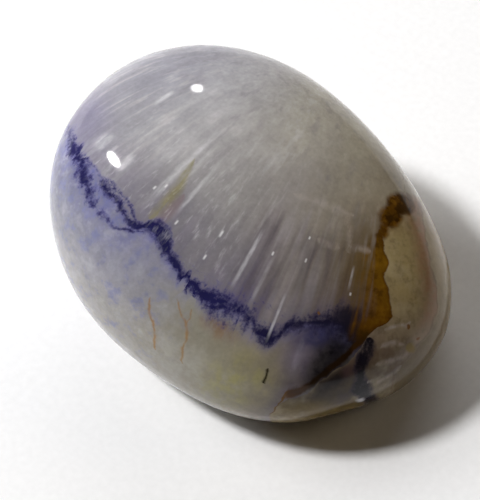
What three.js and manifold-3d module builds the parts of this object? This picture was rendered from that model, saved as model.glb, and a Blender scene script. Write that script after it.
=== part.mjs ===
// A tumbled blue john stone: one solid pebble of banded fluorspar, worn round and polished in a
// tumbling barrel. Millimetres, +Z up. The stone lies on the flat spot of its underside, with its
// long axis along X, its front toward -Y and its higher end toward -X.

import * as THREE from 'three';
import { mergeVertices } from 'three/addons/utils/BufferGeometryUtils.js';
import Module from 'manifold-3d';

const wasm = await Module();
wasm.setup();

// Longest side of the finished stone. The other two sides follow from the shape.
const LENGTH = 30;

// How much of the lowest point is worn away to make the spot that the stone rests on.
const REST_DEPTH = 0.15;

// How finely the surface is divided: each edge of an icosahedron is cut into DIVISIONS + 1.
const DIVISIONS = 16;

// The rounded body, by its reach from the middle in six directions. Wear has turned the
// block between them into something a little squarer than an ellipsoid, which has a fullness of 2.
const FULLNESS = 2.3;
const BODY = [
  { side: 'right end', toward: [1, 0, 0], reach: 15.4 },
  { side: 'left end', toward: [-1, 0, 0], reach: 15.6 },
  { side: 'back', toward: [0, 1, 0], reach: 12.7 },
  { side: 'front', toward: [0, -1, 0], reach: 12.1 },
  { side: 'top', toward: [0, 0, 1], reach: 7.9 },
  { side: 'underside', toward: [0, 0, -1], reach: 9.4 },
];

// The body lies leaning, in degrees: its front is down a little, and its right end further.
const FRONT_DOWN = 6;
const RIGHT_DOWN = 16;

// Faces of the first broken lump that the barrel has worn down but not away, as the stone lies.
// Each one flattens the body where it faces, and the sharpness says how close to that place.
const SHARPNESS = 6;
const WORN_FACES = [
  { side: 'underside', toward: [0, 0, -1], reach: 5.8 },
  { side: 'back right', toward: [0.45, 0.85, 0.3], reach: 13.2 },
  { side: 'back left, low', toward: [-0.55, 0.7, -0.45], reach: 11.8 },
  { side: 'front right, low', toward: [0.7, -0.4, -0.55], reach: 15.7 },
  { side: 'front left', toward: [-0.7, -0.7, -0.05], reach: 16.6 },
  { side: 'front, low', toward: [0, -0.85, -0.5], reach: 14.4 },
];

const STONE = { color: 0x8f8a8b, roughness: 0.12, metalness: 0 };

const lean = new THREE.Euler(
  THREE.MathUtils.degToRad(FRONT_DOWN),
  THREE.MathUtils.degToRad(RIGHT_DOWN),
  0,
);
const upright = new THREE.Quaternion().setFromEuler(lean).invert();

function facing(direction, faces, power) {
  // Sum over the faces of how squarely the direction meets each, for its reach.
  let sum = 0;
  for (const face of faces) {
    const square = direction.dot(new THREE.Vector3(...face.toward).normalize());
    sum += Math.max(0, square / face.reach) ** power;
  }
  return sum;
}

function reachAlong(direction) {
  // Distance from the middle of the stone to its surface in one direction.
  const inBody = direction.clone().applyQuaternion(upright);
  const body = facing(inBody, BODY, FULLNESS) ** (SHARPNESS / FULLNESS);
  const worn = facing(direction, WORN_FACES, SHARPNESS);
  return (body + worn) ** (-1 / SHARPNESS);
}

function roundedStone() {
  // An even mesh of triangles, each corner moved out or in to the surface of the stone.
  const ball = new THREE.IcosahedronGeometry(1, DIVISIONS);
  ball.deleteAttribute('normal');
  ball.deleteAttribute('uv');
  const stone = mergeVertices(ball);
  const corners = stone.attributes.position;
  const corner = new THREE.Vector3();
  for (let i = 0; i < corners.count; i += 1) {
    corner.fromBufferAttribute(corners, i).normalize();
    corner.multiplyScalar(reachAlong(corner));
    corners.setXYZ(i, corner.x, corner.y, corner.z);
  }
  stone.computeBoundingBox();
  return stone;
}

function solidOf(geometry) {
  const bare = geometry.clone();
  bare.deleteAttribute('normal');
  bare.deleteAttribute('uv');
  const merged = mergeVertices(bare);
  const mesh = new wasm.Mesh({
    numProp: 3,
    vertProperties: new Float32Array(merged.attributes.position.array),
    triVerts: new Uint32Array(merged.index.array),
  });
  return new wasm.Manifold(mesh);
}

function geometryOf(solid) {
  const mesh = solid.getMesh();
  const geometry = new THREE.BufferGeometry();
  geometry.setAttribute('position', new THREE.BufferAttribute(mesh.vertProperties, 3));
  geometry.setIndex(new THREE.BufferAttribute(mesh.triVerts, 1));
  return geometry;
}

function wearFlatBelow(stone) {
  // Takes off everything under the resting height with a block that is wider than the stone.
  const box = stone.boundingBox;
  const width = 4 * LENGTH;
  const block = new THREE.BoxGeometry(width, width, width);
  block.translate(0, 0, box.min.z + REST_DEPTH - width / 2);
  return geometryOf(solidOf(stone).subtract(solidOf(block)));
}

function toSizeAndPlace(geometry) {
  // Scales the stone to its length and puts the middle of its box, at its lowest height, at zero.
  geometry.computeBoundingBox();
  const scale = LENGTH / (geometry.boundingBox.max.x - geometry.boundingBox.min.x);
  geometry.scale(scale, scale, scale);
  geometry.computeBoundingBox();
  const { min, max } = geometry.boundingBox;
  geometry.translate(-(min.x + max.x) / 2, -(min.y + max.y) / 2, -min.z);
  geometry.computeVertexNormals();
  return geometry;
}

const stone = new THREE.Mesh(
  toSizeAndPlace(wearFlatBelow(roundedStone())),
  new THREE.MeshStandardMaterial(STONE),
);
stone.name = 'stone';

const group = new THREE.Group();
group.add(stone);

export default group;
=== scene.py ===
# %% [markdown]
# # A tumbled blue john stone
# Blue john is a banded fluorspar. Its crystals grew side by side as fine columns, outward from one
# place, so a broken piece shows a fan of pale fibres that is crossed by violet growth bands. This
# piece was rounded and polished in a tumbling barrel. A stained crack runs down through it.
#
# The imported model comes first: it fixes where the stone is and how large, and nothing here moves it.

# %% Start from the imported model
import functools
import random
from math import cos, exp, pi, radians, sin

import bmesh
import bpy
from mathutils import Matrix, Quaternion, Vector, noise
from mathutils.bvhtree import BVHTree


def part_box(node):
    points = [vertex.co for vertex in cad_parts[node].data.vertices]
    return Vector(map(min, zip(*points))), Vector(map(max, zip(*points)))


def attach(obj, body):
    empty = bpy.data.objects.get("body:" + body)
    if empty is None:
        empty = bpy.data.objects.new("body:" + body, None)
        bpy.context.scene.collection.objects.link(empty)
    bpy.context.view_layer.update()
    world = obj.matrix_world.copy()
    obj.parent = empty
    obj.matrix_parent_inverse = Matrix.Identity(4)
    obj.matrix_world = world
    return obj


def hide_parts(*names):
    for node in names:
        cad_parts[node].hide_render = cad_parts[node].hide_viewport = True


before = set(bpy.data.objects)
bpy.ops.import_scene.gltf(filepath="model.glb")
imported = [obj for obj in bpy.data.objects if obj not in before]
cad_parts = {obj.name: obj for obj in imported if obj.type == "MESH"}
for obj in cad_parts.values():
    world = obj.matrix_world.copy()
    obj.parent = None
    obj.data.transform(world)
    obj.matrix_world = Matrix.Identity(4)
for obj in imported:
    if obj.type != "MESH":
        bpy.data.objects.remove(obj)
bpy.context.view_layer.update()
MM = 0.001
stone_low, stone_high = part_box("stone")
print("stone in mm:", [round(side / MM, 2) for side in stone_high - stone_low])

# %% [markdown]
# ## The view
# The photograph looks steeply down on the stone from its front right, from about as near as a hand
# holds it. The lens follows from the size of the stone in the picture. The three directions of the
# picture are kept as vectors, because the markings are later drawn as they are seen from here.

# %% The camera and the directions of the picture
PICTURE_HIGH = 500
VIEW_AZIMUTH = 37
VIEW_ELEVATION = 54
VIEW_DISTANCE = 130 * MM
PIXELS_PER_RADIAN = 1874
SENSOR = 36
LOOK_AT = Vector((0, 0, 8 * MM))
AIM_LEFT = 0.67 * MM
AIM_DOWN = 2.05 * MM


def direction(azimuth, elevation):
    """The direction from the stone toward a camera or a lamp that stands there."""
    a, e = radians(azimuth), radians(elevation)
    return Vector((sin(a) * cos(e), -cos(a) * cos(e), sin(e)))


def place(thing, position, target):
    """Links a camera or a lamp and points it at the target."""
    bpy.context.scene.collection.objects.link(thing)
    thing.location = position
    thing.rotation_euler = (target - position).to_track_quat("-Z", "Y").to_euler()
    return thing


toward = direction(VIEW_AZIMUTH, VIEW_ELEVATION)
right = direction(VIEW_AZIMUTH + 90, 0)
up = toward.cross(right)
lens = bpy.data.cameras.new("camera")
lens.sensor_width = SENSOR
lens.lens = PIXELS_PER_RADIAN * SENSOR / PICTURE_HIGH
lens.clip_start = 1 * MM
camera = place(
    bpy.data.objects.new("camera", lens),
    LOOK_AT + toward * VIEW_DISTANCE,
    LOOK_AT - right * AIM_LEFT - up * AIM_DOWN,
)
bpy.context.scene.camera = camera
print("lens in mm:", round(lens.lens, 1))

# %% [markdown]
# ## Adding nodes and colours
# Every material is made of nodes. One function adds a node with its settings and wires, and
# another turns a colour as it is written for the web into the linear values that nodes hold.

# %% Helpers for materials


def linear(hex_colour):
    """A hex colour in sRGB as linear red, green, blue and full alpha."""
    channels = [int(hex_colour[i : i + 2], 16) / 255 for i in (1, 3, 5)]
    return [c / 12.92 if c <= 0.04045 else ((c + 0.055) / 1.055) ** 2.4 for c in channels] + [1]


def add_node(tree, kind, sockets=(), out=0, **settings):
    """Adds one node with its settings. Each socket, by order or by name, gets a value or a wire."""
    made = tree.nodes.new("ShaderNode" + kind)
    for name, value in settings.items():
        setattr(made, name, value)
    for socket, value in sockets.items() if isinstance(sockets, dict) else enumerate(sockets):
        if isinstance(value, bpy.types.NodeSocket):
            tree.links.new(value, made.inputs[socket])
        else:
            made.inputs[socket].default_value = value
    return made.outputs[out]


def new_material(name):
    """An empty material, its Principled shader and the function that adds nodes to it."""
    material = bpy.data.materials.new(name)
    material.use_nodes = True
    return material, material.node_tree.nodes["Principled BSDF"], functools.partial(
        add_node, material.node_tree
    )


print("mid grey is", [round(c, 3) for c in linear("#808080")])

# %% [markdown]
# ## The light
# One lamp at the left throws the shadow to the right. Two wide soft ones stand low at the left and
# behind: they reach the far end of the shadow over the stone's back, but not the paper close under
# its front, which stays nearly black. A weak warm one stands low at the right, as light that comes
# back from something there. None of these four shows in the polish. Two small lamps make the two
# glints in it. They add no light of their own to the colours, so that the place of each glint can
# be set without moving the shadow.

# %% Lamps
LAMP_DISTANCE = 600 * MM
WIDE_LAMP_DISTANCE = 700 * MM
WARM = "#ffeac8"


def lamp(
    name, azimuth, elevation, across, high, watts, distance=LAMP_DISTANCE, turned=0, tint="#ffffff"
):
    """An oval lamp that faces the stone, turned about the line that joins them."""
    light = bpy.data.lights.new(name, "AREA")
    light.shape = "ELLIPSE"
    light.size = across
    light.size_y = high
    light.energy = watts
    light.color = linear(tint)[:3]
    stand = bpy.data.objects.new(name, light)
    place(stand, LOOK_AT + direction(azimuth, elevation) * distance, LOOK_AT)
    turn = Quaternion((0, 0, 1), radians(turned))
    stand.rotation_euler = (stand.rotation_euler.to_quaternion() @ turn).to_euler()
    return stand


for wide in (
    lamp("key", -61, 49, 100 * MM, 100 * MM, 3.5),
    lamp("low left", -75, 30, 400 * MM, 400 * MM, 2.2, WIDE_LAMP_DISTANCE),
    lamp("low back", -148, 30, 750 * MM, 320 * MM, 1.9, WIDE_LAMP_DISTANCE),
    lamp("warm bounce", 140, 32, 400 * MM, 300 * MM, 0.5, WIDE_LAMP_DISTANCE, tint=WARM),
):
    wide.visible_glossy = False
for glint in (
    lamp("long glint", -82.6, 50.9, 42 * MM, 116 * MM, 1.9, turned=-21),
    lamp("round glint", -141.4, 44.4, 38 * MM, 38 * MM, 0.14),
):
    glint.visible_diffuse = False

bpy.context.scene.view_settings.view_transform = "Standard"

# %% [markdown]
# ## The room
# The room is dim and a little warm. Low down it is brighter, as a wall behind a lit table is, so
# that the polish doesn't show a hard line where the paper ends in the distance.

# %% Dim room
WALL_GLOW = 0.1
ROOM_GLOW = 0.009
WALL_TOP = 0.3
ROOM_TINT = "#ffe1c8"

world = bpy.data.worlds.new("dim room")
world.use_nodes = True
bpy.context.scene.world = world
gaze = add_node(world.node_tree, "TexCoord", out="Generated")
height = add_node(world.node_tree, "SeparateXYZ", [gaze], out="Z")
glow = add_node(
    world.node_tree,
    "MapRange",
    [height, 0, WALL_TOP, WALL_GLOW, ROOM_GLOW],
    interpolation_type="SMOOTHERSTEP",
)
background = world.node_tree.nodes["Background"]
background.inputs["Color"].default_value = linear(ROOM_TINT)
world.node_tree.links.new(glow, background.inputs["Strength"])
print("nodes of the room:", [node.name for node in world.node_tree.nodes])

# %% [markdown]
# ## The floor
# A plain pale sheet of paper, much wider than the stone. It has a faint fibre, which a flat white
# would lack.

# %% Paper
PAPER_WIDTH = 2.0
PAPER_FIBRE = 0.5 * MM
PAPER_ROUGHNESS = 0.8

paper, shader, add = new_material("uncoated white paper")
place_on_sheet = add("TexCoord", out="Object")
flock = add("TexNoise", {"Vector": place_on_sheet, "Scale": 1 / PAPER_FIBRE, "Detail": 3})
paper_tone = add("ValToRGB", [flock])
paper_tone.node.color_ramp.elements[0].color = linear("#e9e9ea")
paper_tone.node.color_ramp.elements[1].color = linear("#f4f4f5")
paper.node_tree.links.new(paper_tone, shader.inputs["Base Color"])
shader.inputs["Roughness"].default_value = PAPER_ROUGHNESS

sheet = bmesh.new()
bmesh.ops.create_grid(sheet, x_segments=1, y_segments=1, size=PAPER_WIDTH / 2)
floor_mesh = bpy.data.meshes.new("floor")
sheet.to_mesh(floor_mesh)
sheet.free()
floor_mesh.materials.append(paper)
floor = bpy.data.objects.new("floor", floor_mesh)
bpy.context.scene.collection.objects.link(floor)
print("floor corners in m:", [tuple(corner.co.xy) for corner in floor_mesh.vertices])

# %% [markdown]
# ## The shape of the stone
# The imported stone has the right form, but its flat faces would show as kinks in the glints. A
# subdivision of it would keep the kinks, so a fine ball is drawn onto it instead: each point of the
# ball moves in or out along its own ray until it meets the stone. A few rounds of smoothing then
# melt the faces together, as the barrel did.

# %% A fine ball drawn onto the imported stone
BALL_CUTS = 7
MELT_ROUNDS = 30
MELT_SHARE = 0.5
HEART = Vector((0, 0, 7 * MM))

packed = bmesh.new()
packed.from_mesh(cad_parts["stone"].data)
bmesh.ops.remove_doubles(packed, verts=packed.verts, dist=0.001 * MM)
packed_surface = BVHTree.FromBMesh(packed)
stone = bmesh.new()
bmesh.ops.create_icosphere(stone, subdivisions=BALL_CUTS, radius=1)
for point in stone.verts:
    point.co = packed_surface.ray_cast(HEART, point.co.normalized())[0]
packed.free()
for _ in range(MELT_ROUNDS):
    bmesh.ops.smooth_vert(
        stone,
        verts=stone.verts,
        factor=MELT_SHARE,
        use_axis_x=True,
        use_axis_y=True,
        use_axis_z=True,
    )
print("stone faces:", len(stone.faces))

# %% [markdown]
# ## Small marks of wear
# Tumbling leaves a surface that is smooth but not perfect: it rolls very slightly, and a few tiny
# pits are left where a grain broke out. Three broad places at the right end are worn a little more
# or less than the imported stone, by up to a quarter of a millimetre, as the outline in the
# photograph shows. All of it is moved in the mesh, because a glint shows it. The worn spot that the
# stone rests on stays flat.

# %% Slow rolls, uneven wear and pits
ROLL = 0.02 * MM
ROLL_LENGTH = 6 * MM
PIT_COUNT = 26
PIT_WIDTHS = (0.12 * MM, 0.3 * MM)
PIT_DEPTH_SHARE = 0.14
GLINT_PIT = Vector((-6.68, 2.65, 14.94)) * MM
GLINT_PIT_WIDTH = 0.2 * MM
REST_EDGE = 0.3 * MM
WEAR = [
    (Vector((14.7, -0.8, 2.8)) * MM, 3.2 * MM, 0.22 * MM),
    (Vector((12.4, -6.4, 2.4)) * MM, 2.6 * MM, -0.24 * MM),
    (Vector((13.8, 5.5, 4.0)) * MM, 2.0 * MM, -0.12 * MM),
]

random.seed(7)
stone.verts.ensure_lookup_table()
stone.normal_update()
pits = [(GLINT_PIT, GLINT_PIT_WIDTH)]
for _ in range(PIT_COUNT):
    pits.append((random.choice(stone.verts).co.copy(), random.uniform(*PIT_WIDTHS)))
for point in stone.verts:
    depth = ROLL * noise.noise(point.co / ROLL_LENGTH)
    for middle, width, height_change in WEAR:
        depth += height_change * exp(-(((point.co - middle).length / width) ** 2))
    for middle, width in pits:
        near = 1 - (point.co - middle).length / width
        if near > 0:
            depth -= PIT_DEPTH_SHARE * width * near * near * (3 - 2 * near)
    if point.co.z > REST_EDGE:
        point.co += point.normal * depth
for face in stone.faces:
    face.smooth = True
bmesh.ops.recalc_face_normals(stone, faces=stone.faces)
stone_mesh = bpy.data.meshes.new("blue_john_stone")
stone.to_mesh(stone_mesh)
stone.free()
piece = bpy.data.objects.new("blue_john_stone", stone_mesh)
bpy.context.scene.collection.objects.link(piece)
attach(piece, "root")
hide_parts("stone")
print("lowest point in mm:", round(min(v.co.z for v in stone_mesh.vertices) / MM, 3))

# %% [markdown]
# ## How the crystal grew
# All the markings follow from growth, so the material first works out three measures for each place
# in the stone: `reach`, the distance from the place where the crystals started; `turn`, the
# angle of the fibre that passes there, as the picture shows it; and `ray`, the direction of
# that fibre in space. A band lies at one reach, and a fibre keeps one ray. They are worked out inside
# the solid, so the markings also run on round the sides and the back, as they do in a real stone.
# A Mapping node turns the stone to stand as the picture shows it and changes metres to millimetres.

# %% Reach, turn and ray
START = (12.65, 21.05, 0)
REACH_OF_BAND = 30
LONG_FIBRES = 0.06
SHORT_FIBRES = 0.22
COLUMN_FIBRES = 0.1

fluorspar, shader, add = new_material("blue john, tumbled and polished")
view_turn = Matrix((right, up, toward))
seen = add(
    "Mapping",
    {
        "Vector": add("TexCoord", out="Object"),
        "Location": -(view_turn @ LOOK_AT) / MM,
        "Rotation": view_turn.to_euler(),
        "Scale": (1 / MM, 1 / MM, 1 / MM),
    },
    vector_type="POINT",
)
inward = add("VectorMath", [START, seen], operation="SUBTRACT")
reach = add("VectorMath", [inward], out="Value", operation="LENGTH")
inward_parts = add("SeparateXYZ", [inward]).node.outputs
angle = add("Math", [inward_parts["Y"], inward_parts["X"]], operation="ARCTAN2")
turn = add("Math", [angle, 180 / pi], operation="MULTIPLY")
ray = add("VectorMath", [inward], operation="NORMALIZE")
across_fibres = add("VectorMath", {0: ray, "Scale": REACH_OF_BAND}, operation="SCALE")


def fibres(size, length_share, detail=3, roughness=0.6):
    """Noise drawn out along the fibres. The larger the length share, the shorter its streaks."""
    along = add("VectorMath", {0: seen, "Scale": length_share}, operation="SCALE")
    where = add("VectorMath", [across_fibres, along], operation="ADD")
    sockets = {"Vector": where, "Scale": 1 / size, "Detail": detail, "Roughness": roughness}
    return add("TexNoise", sockets)


def clouds(size, detail=3, roughness=0.6):
    """Noise with no direction."""
    sockets = {"Vector": seen, "Scale": 1 / size, "Detail": detail, "Roughness": roughness}
    return add("TexNoise", sockets)


def tell_nodes(step):
    """Prints how many nodes the stone's material has after a step."""
    print(step + ":", len(fluorspar.node_tree.nodes), "nodes so far")


long_fine = fibres(0.5, LONG_FIBRES, detail=2, roughness=0.5)
long_broad = fibres(1.3, LONG_FIBRES)
long_columns = fibres(0.8, COLUMN_FIBRES, detail=2, roughness=0.5)
short_fine = fibres(0.3, SHORT_FIBRES)
short_broad = fibres(0.8, SHORT_FIBRES)
grain = clouds(0.25, detail=2)
flecks = clouds(0.7, detail=3)
drifts = clouds(4, detail=4)
tell_nodes("measures and noise")

# %% [markdown]
# ## Lines drawn through given points
# The larger markings are drawn as a short list of points, each in millimetres as the picture shows
# it, or as a turn and a reach. A Float Curve joins the points into one smooth line. The edges of
# stains are made uneven by a little noise that shifts the place where the line is read.

# %% Drawn lines, patches and streaks
STAIN_WANDER = 0.3
STAIN_GRAIN = 0.9


def soft(value, start, end, low=0, high=1):
    """A soft step from one number to another, while the value goes from start to end."""
    return add("MapRange", [value, start, end, low, high], interpolation_type="SMOOTHSTEP")


def times(*masks):
    """The product of several masks or numbers."""
    return functools.reduce(lambda a, b: add("Math", [a, b], operation="MULTIPLY"), masks)


def most(masks):
    """The strongest of several masks at each place."""
    return functools.reduce(lambda a, b: add("Math", [a, b], operation="MAXIMUM"), masks)


def drawn(along, points, handle="AUTO"):
    """The height of a line through (along, height) points, read anywhere along it."""
    places = [p[0] for p in points]
    heights = [p[1] for p in points]
    low, high = min(heights), max(heights)
    share = add("MapRange", [along, places[0], places[-1], 0, 1])
    line = add("FloatCurve", {"Value": share})
    curve = line.node.mapping.curves[0]
    shares = [(p - places[0]) / (places[-1] - places[0]) for p in places]
    levels = [(h - low) / (high - low) for h in heights]
    curve.points[0].location = (shares[0], levels[0])
    curve.points[-1].location = (shares[-1], levels[-1])
    for pair in list(zip(shares, levels))[1:-1]:
        curve.points.new(*pair)
    for point in curve.points:
        point.handle_type = handle
    line.node.mapping.update()
    return add("MapRange", [line, 0, 1, low, high])


def distance_from(across, along, centre):
    """How far a place lies from a drawn line, to either side."""
    off = add("Math", [across, drawn(along, centre)], operation="SUBTRACT")
    return add("Math", [off], operation="ABSOLUTE")


def line_mask(across, along, centre, half_width, core):
    """1 on a drawn line and 0 beside it. Its half width is drawn too. The core is its full share."""
    width = drawn(along, half_width)
    return soft(distance_from(across, along, centre), times(width, core), width, 1, 0)


def patch(middle, half_across, half_high, turned=0, edge=0.6, half_deep=7):
    """1 in the middle of a turned oval patch and 0 outside it. The edge is the soft share."""
    inside = add(
        "Mapping",
        {
            "Vector": rough_place,
            "Location": middle,
            "Rotation": (0, 0, radians(turned)),
            "Scale": (half_across, half_high, half_deep),
        },
        vector_type="TEXTURE",
    )
    away = add("VectorMath", [inside], out="Value", operation="LENGTH")
    return soft(away, 1 - edge, 1, 1, 0)


def streak(at_turn, start, end, half_width):
    """A streak along one fibre, from one reach to another."""
    off = add("Math", [add("Math", [turn, at_turn], operation="SUBTRACT")], operation="ABSOLUTE")
    degrees = half_width / REACH_OF_BAND * 180 / pi
    middle, half = (start + end) / 2, (end - start) / 2
    away = add("Math", [add("Math", [reach, middle], operation="SUBTRACT")], operation="ABSOLUTE")
    return times(soft(off, 0.1 * degrees, degrees, 1, 0), soft(away, 0.3 * half, half, 1, 0))


jitter = add("TexNoise", {"Vector": seen, "Scale": 1 / STAIN_GRAIN, "Detail": 4}, out="Color")
jitter = add("VectorMath", [jitter, (0.5, 0.5, 0.5)], operation="SUBTRACT")
jitter = add("VectorMath", {0: jitter, "Scale": 2 * STAIN_WANDER}, operation="SCALE")
rough_place = add("VectorMath", [seen, jitter], operation="ADD")
seen_parts = add("SeparateXYZ", [seen]).node.outputs
rough_parts = add("SeparateXYZ", [rough_place]).node.outputs
x, y, nearness = seen_parts["X"], seen_parts["Y"], seen_parts["Z"]
rough_x, rough_y = rough_parts["X"], rough_parts["Y"]
near_face = soft(nearness, -2, 1)
tell_nodes("drawing tools")

# %% [markdown]
# ## The body colour
# Inside the band the crystal is nearly colourless: milky grey at the left and a warmer, clearer grey
# at the right. The milky grey at the left is partly painted sheen, where its fibres face the light.
# Outside the band it is lilac at the left, pale below, and straw coloured where iron has crept
# between the fibres. Each zone is a colour ramp that is read by the turn. Over it lie clouds that
# are milkier near the start, and columns that are clearer, and so darker, toward the band.

# %% Colours of the inner and the outer crystal
TURN_RANGE = (30, 92)
# The lighter stops at the left hold painted sheen as well as the crystal's own grey.
INNER = [
    (31, "#93929a"), (38, "#a5a4a8"), (46, "#a5a3a4"), (54, "#a09d9c"), (63, "#97918e"),
    (70, "#8c8479"), (78, "#7f7260"), (90, "#857a68"),
]
OUTER = [
    (31, "#7d7d89"), (40, "#83838f"), (48, "#8f8e9b"), (54, "#939196"), (60, "#979385"),
    (67, "#988f76"), (70.5, "#877e74"), (72.5, "#70676d"), (79, "#4a444b"),
]
FAR_OUTER = "#a3a098"
CLEAR_BY_TURN = [(50, 0.1), (59.5, 0.05), (61.5, 0.95), (65, 0.7), (68, 0.35), (74, 0.35), (84, 0)]
IRON_BY_TURN = [(72, 0), (75, 0.4), (78.5, 0.9), (83, 0.9), (90, 0.4)]


def ramp(along, span, stops):
    """A colour that is read from a list of (place, hex colour) stops along a span."""
    share = add("MapRange", [along, span[0], span[1], 0, 1])
    colours = add("ValToRGB", [share])
    elements = colours.node.color_ramp.elements
    while len(elements) < len(stops):
        elements.new(0.5)
    for element, (where, colour) in zip(elements, stops):
        element.position = (where - span[0]) / (span[1] - span[0])
        element.color = linear(colour)
    return colours


inner_colour = ramp(turn, TURN_RANGE, INNER)
halo_colour = ramp(turn, TURN_RANGE, [(60, "#56538a"), (72, "#4a4668"), (80, "#383246")])
core_colour = ramp(turn, TURN_RANGE, [(60, "#211f4c"), (72, "#1f1c3a"), (80, "#19151f")])
outer_colour = ramp(turn, TURN_RANGE, OUTER)
milky = times(soft(reach, 25, 15, 0, 0.6), soft(turn, 42, 60), soft(drifts, 0.3, 0.65, 0.6, 1))
clear = times(
    drawn(turn, CLEAR_BY_TURN), soft(reach, 22.5, 26), soft(long_broad, 0.62, 0.4, 0.3, 1)
)
iron = times(drawn(turn, IRON_BY_TURN), soft(reach, 20, 26), soft(reach, 31, 29.6))
far_outer = times(soft(reach, 32, 36.5), soft(turn, 71, 66), soft(long_broad, 0.3, 0.7, 0.6, 1))
tell_nodes("body colours")

# %% [markdown]
# ## The violet band
# The band marks one moment of growth. Each column of crystal had grown a little further or less
# far by then, so the band steps up and down from column to column like a battlement. Columns are
# the cells of a Voronoi pattern that is read by the ray alone, and each cell's random value shifts
# the band there. The colour lies in tiny crystals, so noise eats into it like ink on rough paper.
# A second strand and a small loop are drawn the same way. Outside the band lies a lilac haze, and
# just inside it a faint violet veil.

# %% Band, second strand and haze
COLUMN_WIDTH = 0.55
BAND = [
    (29, 29.1), (31.7, 29.4), (34.5, 29.7), (37, 29.2), (40.5, 29.7), (42.4, 29.7), (44.2, 29.95),
    (46.4, 30.1), (48.0, 29.45), (49.3, 29.35), (50.8, 29.65), (52.7, 30.3), (54.5, 30.6),
    (56.6, 30.95), (59, 31.0), (61, 31.1), (63.7, 31.05), (65.6, 31.5), (68.2, 31.7), (69.8, 30.8),
    (71.4, 30.2), (73.8, 29.7), (77.7, 29.3), (81, 29.6),
]
BAND_HALF_WIDTH = [
    (29, 0.25), (33, 0.34), (36, 0.24), (39, 0.3), (43, 0.26), (45.5, 0.2), (47.5, 0.24),
    (49.5, 0.36), (52, 0.3), (56, 0.26), (59, 0.36), (61.5, 0.75), (64.5, 0.95), (66.8, 0.4),
    (68.5, 0.5), (72, 0.55), (75, 0.7), (78, 0.9), (82, 0.9),
]
BAND_STRENGTH = [
    (29, 0.4), (32, 0.75), (34.5, 1.05), (36.5, 0.35), (38.5, 0.3), (40.5, 0.95), (43, 0.8),
    (44.6, 0.75), (46.4, 1.15), (48.2, 1.25), (51, 1.25), (53, 1), (56, 1.05), (59, 1.2),
    (61.5, 0.85), (64.5, 0.65), (66.5, 0.8), (67.6, 1.05), (70, 0.85), (75, 0.95), (79, 1.0),
    (81.5, 0),
]
COLUMN_STEPS = [
    (30, 0.3), (36, 0.25), (42, 0.2), (45, 0.1), (50, 0.1), (54, 0.1), (56, 0.5), (59, 0.5),
    (63, 0.7), (67, 0.35), (71, 0.2), (80, 0.35),
]
RAGGED_BY_TURN = [(30, 0.8), (44, 0.7), (47, 0.25), (52, 0.3), (56, 0.8), (80, 1)]
STRAND = [
    (34.5, 29.5), (36, 29.9), (37.1, 30.1), (39, 30.5), (41.8, 31.0), (43.8, 31.1), (46.1, 30.7),
    (48, 30.1),
]
STRAND_HALF_WIDTH = [(34, 0.3), (37, 0.45), (40, 0.42), (43, 0.3), (46, 0.2), (48.5, 0.2)]
STRAND_STRENGTH = [(34, 0), (36.3, 0.95), (39, 0.85), (42, 0.5), (44.5, 0.45), (46, 0.6), (48.5, 0)]
LOOP = [(39.5, 29.3), (42, 29.2), (44, 29.35), (46.6, 29.9)]
LOOP_HALF_WIDTH = [(39, 0.12), (42, 0.2), (46, 0.16)]
LOOP_STRENGTH = [(38.8, 0), (40.5, 0.6), (43, 0.5), (45.5, 0.6), (46.8, 0)]
HAZE_DEPTH = [
    (31, 4), (45, 3.5), (52, 2.6), (57, 1.4), (61, 2.0), (65, 2.4), (67.5, 1.6), (70, 1.8), (79, 2.6),
]
VEIL_STRENGTH = [
    (28, 0.6), (34, 0.5), (44, 0.45), (52, 0.45), (59, 0.5), (64, 0.75), (70, 0.5), (80, 0.4),
]
INK_FALL = 0.55
INK_BITE = 0.75

columns = add("TexVoronoi", {"Vector": across_fibres, "Scale": 1 / COLUMN_WIDTH}, out="Color")
column = add("SeparateColor", [columns])
shift = add("Math", [column, 0.5], operation="SUBTRACT")
shift = times(shift, drawn(turn, COLUMN_STEPS))
ragged = add("MapRange", [flecks, 0.2, 0.8, -0.3, 0.3])
ragged = times(ragged, drawn(turn, RAGGED_BY_TURN))
shift = add("Math", [shift, ragged], operation="ADD")
stepped = add("Math", [reach, shift], operation="ADD")
bite = add("MapRange", [grain, 0.25, 0.75, -0.42, 0.42])
bite = add("Math", [bite, add("MapRange", [short_fine, 0.25, 0.75, -0.4, 0.4])], operation="ADD")
bite = times(bite, soft(turn, 70, 64, 0.8, 1))


def ink(middle, half_width, strength):
    """How much violet lies on a drawn band: most in its middle, and less toward both sides."""
    off = distance_from(stepped, turn, middle)
    share = add("Math", [off, drawn(turn, half_width)], operation="DIVIDE")
    amount = add("Math", [drawn(turn, strength), times(share, INK_FALL)], operation="SUBTRACT")
    return add("Math", [amount, times(bite, INK_BITE)], operation="ADD")


violet = most(
    [
        ink(BAND, BAND_HALF_WIDTH, BAND_STRENGTH),
        ink(STRAND, STRAND_HALF_WIDTH, STRAND_STRENGTH),
        ink(LOOP, LOOP_HALF_WIDTH, LOOP_STRENGTH),
    ]
)
violet_halo = soft(violet, -0.25, 0.7, 0, 0.65)
violet_core = soft(violet, 0.05, 0.95, 0, 0.98)
off_band = add("Math", [stepped, drawn(turn, BAND)], operation="SUBTRACT")
outside = soft(off_band, -0.25, 0.35)
haze = add(
    "MapRange", [off_band, 0.1, drawn(turn, HAZE_DEPTH), 1, 0], interpolation_type="SMOOTHSTEP"
)
haze = times(haze, outside, soft(flecks, 0.3, 0.7, 0.15, 0.7))
veil = times(soft(off_band, -4.5, -0.1), soft(off_band, 0.5, -0.1))
veil = times(veil, drawn(turn, VEIL_STRENGTH), soft(long_fine, 0.36, 0.6, 0.35, 1))
tell_nodes("band and haze")
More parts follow.
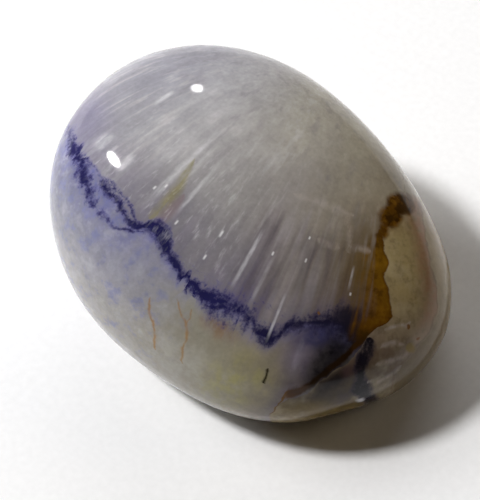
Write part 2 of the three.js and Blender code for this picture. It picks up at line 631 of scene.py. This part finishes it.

# %% [markdown]
# ## The stained crack
# An old crack crosses the stone at the right. Water has left iron in it: amber where the stain is
# thin, and nearly black where it is thick. Its right edge is sharp, because there the crack
# reaches the surface, and to the left it dives under the crystal and fades. Toward the lower edge
# it bends to the left and narrows to a dark line. Beyond it lies a paler block, rusty just inside
# its right edge. Along that edge runs a band of painted light and shade, darker toward the bottom,
# with a dark painted line along its inner side.

# %% Crack, stain and the block beyond it
CRACK = [
    (-13.2, 1.4), (-12.5, 1.7), (-11.8, 2.5), (-11.5, 3.8), (-10.9, 4.4), (-10.1, 5.3),
    (-9.3, 6.6), (-8.6, 7.3), (-7.8, 7.7), (-7.1, 8.4), (-6.6, 9.3), (-6.3, 9.5), (-5.3, 9.4),
    (-4.4, 9.2), (-3.4, 9.0), (-2.8, 9.3), (-1.8, 9.0), (-0.9, 8.8), (-0.1, 9.5), (1.9, 10.6),
]
STAIN_WIDTH = [
    (-8.6, 0), (-7.8, 1.0), (-7.1, 1.7), (-6.3, 2.3), (-5.3, 2.1), (-4.4, 1.9), (-3.4, 1.7),
    (-2.6, 1.9), (-1.7, 1.3), (-0.9, 0.7), (-0.2, 0.3), (0.6, 0),
]
LOW_STAIN = [
    (1.3, -13.1), (1.68, -12.7), (2.07, -12.1), (2.4, -11.6), (2.8, -11.35), (3.3, -11.2),
    (3.9, -10.95), (4.4, -10.5), (4.84, -10.1), (5.3, -9.75), (5.8, -9.4), (6.3, -8.95),
    (6.8, -8.45), (7.3, -8.0), (7.9, -7.4),
]
LOW_STAIN_WIDTH = [
    (1.3, 0.08), (2.1, 0.14), (2.5, 0.3), (2.9, 0.5), (3.4, 0.42), (4.2, 0.42), (4.8, 0.4),
    (5.4, 0.4), (6.2, 0.4), (7.0, 0.45), (7.9, 0.3),
]
LOW_STAIN_COLOURS = [
    (1.3, "#6a5434"), (2.3, "#6b4a1e"), (2.8, "#482600"), (3.5, "#3e2000"), (4.1, "#241200"),
    (4.7, "#1d1208"), (5.6, "#2a190a"), (6.6, "#2c1a08"), (7.4, "#482c0c"), (7.9, "#5c3c0e"),
]
STAIN_COLOURS = [
    (-8.4, "#231509"), (-7.6, "#442a0a"), (-6.7, "#6a4609"), (-4.8, "#755110"), (-2.5, "#7a560f"),
    (-1, "#54380e"), (1.9, "#583b0c"),
]
# The block's colours darken toward its lower end, partly as painted shade on the side turned away from
# the lamps.
BLOCK_COLOURS = [
    (-12.6, "#66552f"), (-11.6, "#4a3f34"), (-10, "#594a3e"), (-8.6, "#7d6c5c"), (-7.2, "#8e7d69"),
    (-6, "#9c8a64"), (-3, "#a59469"), (-1, "#9c8b62"), (1, "#7d6648"),
]
# The band of painted light and shade along the block's right edge, darker toward the bottom.
PAINTED_RIM_COLOURS = [(-10.5, "#63563f"), (-7.5, "#796a50"), (-4.5, "#8c7d5e"), (0, "#8c7b5b")]
PICTURE_SPAN = (-13.5, 11)
LOW_STAIN_SPAN = (1.3, 8)

behind_crack = add("Math", [drawn(rough_y, CRACK, "VECTOR"), rough_x], operation="SUBTRACT")
stain_width = add("Math", [drawn(rough_y, STAIN_WIDTH), 0.01], operation="MAXIMUM")
in_stain = add("Math", [behind_crack, stain_width], operation="DIVIDE")
in_stain = add("Math", [in_stain, times(add("Math", [long_fine, 0.5], operation="SUBTRACT"), 1.6)])
stain = times(soft(in_stain, 1.15, 0.3), soft(behind_crack, -0.05, 0.07), soft(rough_y, -8.6, -7.6))
stain_colour = ramp(y, PICTURE_SPAN, STAIN_COLOURS)
low_stain = times(
    line_mask(rough_y, rough_x, LOW_STAIN, LOW_STAIN_WIDTH, core=0.35),
    soft(x, 1.2, 1.6),
    soft(x, 8.0, 7.4),
    near_face,
)
low_stain_colour = ramp(rough_x, LOW_STAIN_SPAN, LOW_STAIN_COLOURS)
block = times(soft(behind_crack, 0.05, -0.1), soft(rough_y, 2.1, 1.3))
block_colour = ramp(y, PICTURE_SPAN, BLOCK_COLOURS)
painted_rim_colour = ramp(y, PICTURE_SPAN, PAINTED_RIM_COLOURS)
tell_nodes("crack and block")

# %% [markdown]
# ## Marks beside and beyond the crack
# A blue-black strand runs down beyond the lower end of the crack. Pale cleavage lines cross the
# block and the clear crystal before it, where the fluorspar has begun to split. Three rusty
# hairlines lie at the left. The brown stain at the head of the crack is three patches that run into
# one another, and the specks are ovals that reach only a little way into the stone.

# %% Marks beside and beyond the crack
RIM = [
    (-10.2, 9.7), (-8.6, 11.1), (-6.8, 12.5), (-5.4, 12.8), (-3.4, 12.5), (-1.1, 12.1), (0.9, 11.8),
]
RIGHT_STRAND = [
    (-12.7, 8.6), (-12.1, 8.26), (-11.4, 7.6), (-10.9, 7.4), (-10.3, 7.4), (-9.7, 7.46),
    (-9.1, 7.6), (-8.6, 7.8), (-7.9, 8.0),
]
RIGHT_STRAND_WIDTH = [
    (-12.9, 0), (-12.2, 1.1), (-11.4, 1.3), (-10.6, 0.9), (-9.8, 0.7), (-9.1, 0.95), (-8.5, 0.85),
    (-7.7, 0),
]
CLEAVAGE = [
    ([(2.9, 1.8), (4.2, 1.35), (5.4, 0.95), (6.9, 0.4)], 0.45, 0.3),
    ([(6.5, -1.5), (7.3, -1.85), (8.1, -1.9)], 0.4, 0.4),
    ([(4.4, -1.2), (5.0, -1.45), (6.0, -1.8)], 0.4, 0.3),
    ([(9.0, -7.2), (9.9, -7.0), (10.9, -6.8)], 0.24, 0.6),
    ([(8.6, -8.4), (9.6, -8.1), (10.4, -8.2)], 0.3, 0.55),
    ([(8.4, -9.5), (9.6, -9.3), (10.9, -8.6)], 0.32, 0.4),
    ([(7.9, -10.8), (9.2, -10.4), (10.3, -9.7)], 0.3, 0.35),
]
UPRIGHT_CLEAVAGE = ([(-2.1, 6.65), (-0.8, 6.6), (0.7, 6.55)], 0.4)
UPRIGHT_STRENGTH = 0.3
HAIRLINES = [
    ([(-8.8, -6.2), (-7.9, -6.3), (-7.0, -6.3), (-6.2, -6.6), (-5, -6.5)], 0.16, 0.75),
    ([(-9.6, -4.3), (-8.7, -4.4), (-7.7, -4.1), (-6.9, -4.1), (-6.4, -4.4), (-5.2, -4.7)], 0.16, 0.7),
    ([(-6.9, -4.1), (-6.4, -3.9), (-5.8, -3.75)], 0.12, 0.5),
]
SPECKS = {
    "#7d5a3c": [((10.7, -7.0, 4.4), 0.2), ((11.4, -7.9, 3.8), 0.2), ((4.6, -6.1, 7.0), 0.13)],
    "#84703f": [((10.9, -8.5, 4.0), 0.5)],
}
SPECK_DEPTH = 1.2
SLIT = ([(-10.7, 1.0), (-10.2, 1.1), (-9.7, 1.25)], 0.2)


def hairline(across, along, points, half_width):
    """A thin drawn line that tapers to nothing at both ends."""
    first, last = points[0][0], points[-1][0]
    width = [(first, 0), ((3 * first + last) / 4, half_width), ((first + 3 * last) / 4, half_width)]
    return line_mask(across, along, points, width + [(last, 0)], core=0)


right_ink = line_mask(rough_x, rough_y, RIGHT_STRAND, RIGHT_STRAND_WIDTH, core=0)
right_ink = add("Math", [times(right_ink, 1.3), times(bite, 1.3, right_ink)], operation="ADD")
brown_top = most(
    [
        patch((10.25, 1.2, 2), 1.35, 0.95, -5, edge=0.45),
        patch((9.5, 0.35, 3), 1.05, 1.15, -10, edge=0.5),
        patch((9.0, -0.6, 3), 0.55, 1.0, -10, edge=0.7),
    ]
)
past_rim = add("Math", [rough_x, drawn(y, RIM)], operation="SUBTRACT")
# A dark painted line along the inner side of the band of painted light and shade.
painted_rim_line = soft(add("Math", [past_rim], operation="ABSOLUTE"), 0, 0.15, 1, 0)
rusty_zone = times(
    soft(past_rim, -1.6, -0.5), soft(past_rim, 0.1, -0.1), soft(drifts, 0.3, 0.6, 0.4, 1)
)
# The band of painted light and shade along the block's right edge.
painted_rim = soft(past_rim, 0, 0.25)
straw = patch((-0.6, -10.4, 4), 4.2, 2.9, 15, edge=0.9)
straw = times(straw, soft(long_fine, 0.35, 0.65, 0.3, 1))
brown_fibres = patch((-2.0, -7.1, 7), 2.0, 0.9, -30, edge=0.8)
brown_fibres = times(brown_fibres, soft(short_fine, 0.3, 0.7, 0.2, 0.7))
spots = clouds(1.1, detail=4)
outer_left = times(outside, soft(turn, 62, 52))
outer_fibres = times(soft(turn, 50, 58), soft(off_band, 0.4, 2), soft(short_broad, 0.35, 0.65))
tell_nodes("marks")

# %% [markdown]
# ## Painted streaks of light
# Here and there a fibre catches the light along a part of its length; that light is painted into
# the colour as pale streaks, and some of them lie as a painted glow around the long glint. Each
# streak is given by its turn, the reach where it starts and ends, and half its width. A spark is a
# very short painted one. An olive and a mauve streak bend a little, so they are drawn by their turn
# at each reach; these two are the crystal's own colour.

# %% Painted streaks of light in the fibres
# Painted highlights along single fibres.
PAINTED_LIGHT_STREAKS = [
    (34.5, 21.6, 23.8, 0.3, 0.6), (34.7, 26.7, 28.7, 0.6, 0.4), (39.4, 26.6, 28.6, 0.5, 0.45),
    (45.6, 20.5, 29.7, 0.4, 0.45), (49.6, 22.0, 29.0, 0.3, 0.35), (47.0, 22.5, 25.0, 0.25, 0.3),
    (61.5, 24.8, 30.4, 0.24, 0.55), (68.3, 28.4, 32.4, 0.15, 0.6), (64.6, 26.5, 30.5, 0.25, 0.3),
    (72.5, 30.5, 33.5, 0.3, 0.3), (76.6, 25.2, 27.2, 0.15, 0.5),
]
# Painted sparks, very short painted highlights.
PAINTED_SPARKS = [
    (56.5, 26.8, 27.5, 0.14), (56.4, 28.8, 29.3, 0.12), (50.5, 28.0, 28.5, 0.12),
    (45.9, 26.6, 27.0, 0.12), (44.9, 27.2, 27.6, 0.12), (64.4, 26.4, 26.8, 0.12),
    (69.3, 25.9, 26.3, 0.12), (68.6, 24.4, 24.7, 0.12), (77.0, 27.1, 27.4, 0.12),
]
OLIVE_STREAK = [(24.0, 46.0), (25.6, 46.9), (26.4, 47.4), (27.6, 47.6), (29.2, 47.4)]
MAUVE_STREAK = [(26.4, 48.6), (27.6, 48.8), (29.2, 48.6)]


def along_reach(points, half_width):
    """A streak that is drawn by its turn at each reach, for one that isn't quite straight."""
    off = distance_from(turn, reach, points)
    first, last = points[0][0], points[-1][0]
    degrees = half_width / REACH_OF_BAND * 180 / pi
    width = [(first, 0), ((first + last) / 2, degrees), ((first + 2 * last) / 3, degrees), (last, 0)]
    width = add("Math", [drawn(reach, width), 0.001], operation="MAXIMUM")
    return soft(add("Math", [off, width], operation="DIVIDE"), 0.1, 1, 1, 0)


# Painted sheen: short pale dashes where the fibres catch the light.
painted_sheen_zone = times(
    soft(turn, 33, 37), soft(turn, 63, 57), soft(reach, 22, 24), soft(reach, 30.6, 29)
)
painted_sheen = times(painted_sheen_zone, soft(short_fine, 0.52, 0.8, 0, 0.4))
pale_streaks = times(
    soft(long_fine, 0.5, 0.75, 0, 0.5), soft(reach, 17, 24, 0.2, 1), soft(turn, 66, 58, 0.3, 1)
)
print("streaks:", len(PAINTED_LIGHT_STREAKS), "sparks:", len(PAINTED_SPARKS))

# %% [markdown]
# ## Putting the colours over one another
# The finished colour is built like layers of glaze, from the body up: first the crystal inside and
# outside the band, then the band, the dark cloud beside the crack, the block, the stain, the
# strand, and last the thin lines and specks. Each layer has a mask that says where it covers and
# how strongly, and one colour. At the end, five of the noises make the whole a little lighter and
# darker. With a few more layers than these the stone renders black, so many masks are made right
# where they are used, and streaks of one colour share a layer.

# %% Layers of colour
RIGHT_COLUMNS = [((0.45, 0.65), 0.5, "#a09a9c"), ((0.5, 0.3), 0.55, "#544b54")]
BLOCK_PATCHES = [
    ((5.5, -10.6, 6), (2.1, 0.8), 30, 0.8, 0.92, "#1c151b"),
    ((6.6, -9.9, 5), (0.9, 0.7), 30, 0.9, 0.8, "#534041"),
    ((7.5, -10.9, 5), (1.0, 0.9), 0, 0.9, 0.95, "#221d22"),
    ((6.3, -11.8, 5), (1.3, 0.6), 15, 0.9, 0.4, "#4a4048"),
    ((3.6, -12.5, 5), (2.2, 0.7), 5, 0.9, 0.7, "#6b5a2c"),
]
colour = inner_colour


def glaze(mask, over):
    """Lays one colour over all the colours so far, as strongly as its mask says."""
    global colour
    over = linear(over) if isinstance(over, str) else over
    colour = add("Mix", {0: mask, 6: colour, 7: over}, out=2, data_type="RGBA")


glaze(milky, "#aca898")
glaze(clear, "#6b6266")
for (start, end), strength, tint in RIGHT_COLUMNS:
    columns_at_right = times(
        soft(turn, 60.5, 62.5),
        soft(reach, 22.5, 25.5),
        soft(long_columns, start, end, 0, strength),
    )
    glaze(columns_at_right, tint)
glaze(iron, "#5f4a1c")
glaze(times(soft(long_broad, 0.52, 0.75, 0, 0.5), soft(turn, 64, 56)), "#b9b7b9")
glaze(soft(long_broad, 0.48, 0.28, 0, 0.3), "#77727a")
glaze(pale_streaks, "#b8b4b4")
deeper = times(soft(reach, 24.5, 27.5), soft(turn, 38, 43), soft(turn, 67, 60), 0.55)
glaze(deeper, "#76727a")
glaze(outside, outer_colour)
glaze(far_outer, FAR_OUTER)
glaze(veil, "#625a72")
glaze(haze, "#66669c")
glaze(times(outer_fibres, 0.45), "#7e7769")
glaze(times(outer_left, soft(spots, 0.5, 0.68, 0, 0.55)), "#7377a0")
glaze(times(outer_left, soft(spots, 0.5, 0.3, 0, 0.4)), "#a8a8b0")
glaze(straw, "#9c9664")
# Painted shade: a darker blue-grey along the upper left edge, just inside the violet band.
painted_left_shade = times(soft(turn, 37, 30), soft(reach, 25, 28), soft(reach, 30, 29), 0.6)
glaze(painted_left_shade, "#77738a")
glaze(brown_fibres, "#87694f")
glaze(times(along_reach(OLIVE_STREAK, 0.7), soft(short_fine, 0.3, 0.6, 0.3, 0.8)), "#8d8660")
glaze(times(along_reach(MAUVE_STREAK, 0.7), 0.8), "#85777a")
glaze(violet_halo, halo_colour)
glaze(violet_core, core_colour)
# The painted sheen, the painted streaks of light and the painted sparks.
glaze(painted_sheen, "#d9d7da")
painted_lit_streaks = most(
    times(streak(at_turn, start, end, half_width), strength)
    for at_turn, start, end, half_width, strength in PAINTED_LIGHT_STREAKS
)
glaze(times(painted_lit_streaks, soft(short_fine, 0.3, 0.6, 0.4, 1)), "#dddcdf")
glaze(times(most(streak(*spark) for spark in PAINTED_SPARKS), 0.7), "#eeeeee")
tell_nodes("crystal and band")

lilac_cloud = patch((3.3, -8.7, 6), 1.9, 2.4, -20, edge=0.95)
glaze(times(lilac_cloud, 0.6), "#7d7388")
navy = patch((4.5, -7.7, 6), 2.4, 1.2, 8, edge=0.8)
glaze(times(navy, soft(flecks, 0.3, 0.6, 0.5, 0.85)), "#3a385a")
nearly_black = patch((5.2, -9.2, 6), 3.6, 1.75, 46, edge=0.8)
glaze(times(nearly_black, soft(flecks, 0.25, 0.65, 1, 0.8)), "#131016")
dark_beside_stain = patch((6.5, -6.2, 6), 1.5, 0.8, 5, edge=0.8)
glaze(times(dark_beside_stain, 0.85), "#241f2b")
glaze(block, block_colour)
glaze(times(block, soft(drifts, 0.4, 0.62, 0, 0.5)), "#a69a80")
glaze(times(block, soft(flecks, 0.55, 0.3, 0, 0.35)), "#65563f")
for middle, half_size, turned, edge, strength, tint in BLOCK_PATCHES:
    glaze(times(block, patch(middle, *half_size, turned, edge), strength), tint)
rusty_block = times(rusty_zone, block, soft(y, -8.5, -6), soft(flecks, 0.3, 0.6, 0.3, 0.8))
glaze(rusty_block, "#8c6850")
# The band of painted light and shade at the right edge, and its dark painted line.
glaze(times(painted_rim, block, 0.85), painted_rim_colour)
glaze(times(painted_rim_line, block, 0.4), "#5d4630")
tell_nodes("dark cloud and block")

glaze(low_stain, low_stain_colour)
glaze(stain, stain_colour)
glaze(times(stain, soft(flecks, 0.45, 0.75, 0, 0.5), soft(y, -7.5, -6.5)), "#8f661a")
glaze(times(stain, soft(flecks, 0.5, 0.32, 0, 0.5)), "#3a2808")
glaze(times(stain, soft(behind_crack, 0.22, 0.05), 0.5), "#4a2f0c")
glaze(brown_top, "#53350a")
glaze(times(brown_top, soft(flecks, 0.45, 0.7, 0, 0.6)), "#7c5616")
glaze(times(brown_top, brown_top, soft(spots, 0.55, 0.45, 0, 0.8)), "#2f1c06")
glaze(soft(right_ink, 0.1, 0.9, 0, 0.75), "#332c3e")
glaze(soft(right_ink, 0.5, 1.3, 0, 0.97), "#15121e")
# A painted glint: a small pale spot near the lower edge, drawn into the colour.
painted_glint_spot = patch((7.5, -12.0, 4.4), 0.45, 0.25, 10, edge=0.7)
glaze(times(painted_glint_spot, 0.9), "#c9c8cc")
tell_nodes("stain and strand")

flat = most(
    times(hairline(rough_y, rough_x, points, half_width), strength)
    for points, half_width, strength in CLEAVAGE
)
upright = hairline(rough_x, rough_y, *UPRIGHT_CLEAVAGE)
cleft = most([flat, times(upright, UPRIGHT_STRENGTH)])
glaze(times(cleft, soft(short_fine, 0.35, 0.6, 0.3, 1), near_face), "#bdb2aa")
rusty = most(
    times(hairline(rough_x, rough_y, points, half_width), strength)
    for points, half_width, strength in HAIRLINES
)
glaze(times(rusty, near_face, soft(flecks, 0.35, 0.55, 0.45, 1)), "#96703f")
glaze(times(hairline(rough_x, rough_y, *SLIT), near_face), "#2f2a1d")
for speck_colour, specks in SPECKS.items():
    glaze(
        most(patch(middle, size, size, half_deep=SPECK_DEPTH) for middle, size in specks),
        speck_colour,
    )

uneven_tones = (
    (drifts, 0.45), (long_fine, 0.18), (short_broad, 0.2), (flecks, 0.25), (grain, 0.22),
)
tone = 1
for noise_value, swing in uneven_tones:
    change = add("MapRange", [noise_value, 0, 1, -swing / 2, swing / 2])
    tone = add("Math", [tone, change], operation="ADD")
colour = add("VectorMath", {0: colour, "Scale": tone}, operation="SCALE")
tell_nodes("whole material")

# %% [markdown]
# ## The polish
# Polished fluorspar bends light less than glass does, so its shine is soft. The reflection is three
# fifths of what the index gives, for which the Specular IOR Level is 0.3 and not 0.5: at the full
# value the front of the stone would mirror more of the pale paper than the photograph shows. Light
# goes a few millimetres in before it comes out again, and subsurface scattering gives that glow.

# %% Shader values
FLUORSPAR_IOR = 1.434
POLISH = 0.3
POLISH_ROUGHNESS = 0.06
GLOW_DEPTH = 1.5 * MM
GLOW_BY_COLOUR = (1, 0.95, 0.9)

wires = fluorspar.node_tree.links
wires.new(colour, shader.inputs["Base Color"])
shader.inputs["Roughness"].default_value = POLISH_ROUGHNESS
shader.inputs["Specular IOR Level"].default_value = POLISH
shader.inputs["IOR"].default_value = FLUORSPAR_IOR
shader.inputs["Subsurface Weight"].default_value = 1
shader.inputs["Subsurface Radius"].default_value = GLOW_BY_COLOUR
shader.inputs["Subsurface Scale"].default_value = GLOW_DEPTH
stone_mesh.materials.append(fluorspar)
print("materials of the stone:", stone_mesh.materials.keys())
